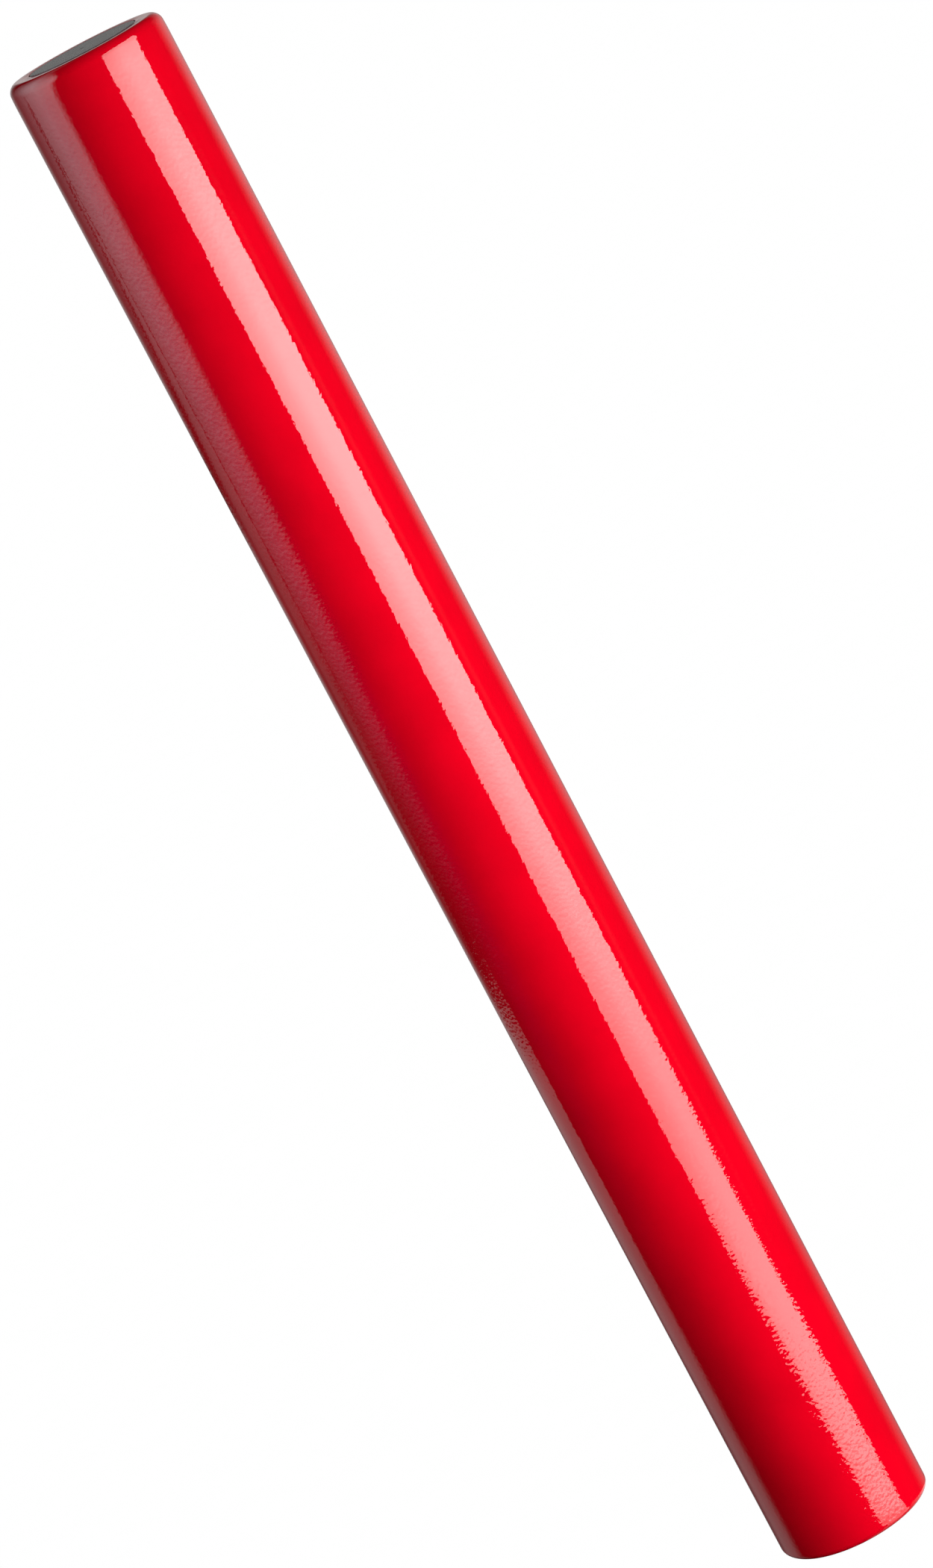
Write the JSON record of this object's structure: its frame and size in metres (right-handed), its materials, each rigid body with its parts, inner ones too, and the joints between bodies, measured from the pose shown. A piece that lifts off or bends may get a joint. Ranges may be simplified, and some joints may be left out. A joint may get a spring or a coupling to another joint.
{
  "type": "backdrop paper roll",
  "caption": "Tabletop roll of seamless backdrop paper on a board core, in a glossy red sleeve over rounded end rings, with grey plugs in the core's ends.",
  "frame": {"origin": "centre of the lower plug's outer face, which the roll stands on", "axes": "+Z along the roll's axis from the lower end to the upper end; X and Y are across the roll, and the sheet's free edge lies at 205 degrees from +X about +Z"},
  "size_m": [0.0656, 0.0656, 0.671],
  "materials": {
    "sleeve_film": "high gloss red film with a fine orange peel",
    "ring_plastic": "plain moulded, satin",
    "core_board": "spiral-wound brown paperboard, matt",
    "backdrop_paper": "uncoated dyed paper, matt",
    "tape_film": "translucent adhesive tape, satin",
    "plug_plastic": "grey moulded plastic, satin"
  },
  "bodies": {
    "roll": {"outer_sleeve": "sleeve_film", "edge_ring_lower": "ring_plastic", "edge_ring_upper": "ring_plastic", "core_tube": "core_board", "paper_winding": "backdrop_paper", "paper_last_turn": "backdrop_paper", "edge_tape_lower": "tape_film", "edge_tape_middle": "tape_film", "edge_tape_upper": "tape_film", "core_start_tape": "tape_film"},
    "lower_plug": {"core_plug_lower": "plug_plastic"},
    "upper_plug": {"core_plug_upper": "plug_plastic"}
  },
  "joints": [
    {"name": "plug_lower_pull", "type": "slide", "parent": "roll", "child": "lower_plug", "axis": [0, 0, -1], "range_m": [0, 0.045]},
    {"name": "plug_upper_pull", "type": "slide", "parent": "roll", "child": "upper_plug", "axis": [0, 0, 1], "range_m": [0, 0.045]}
  ]
}
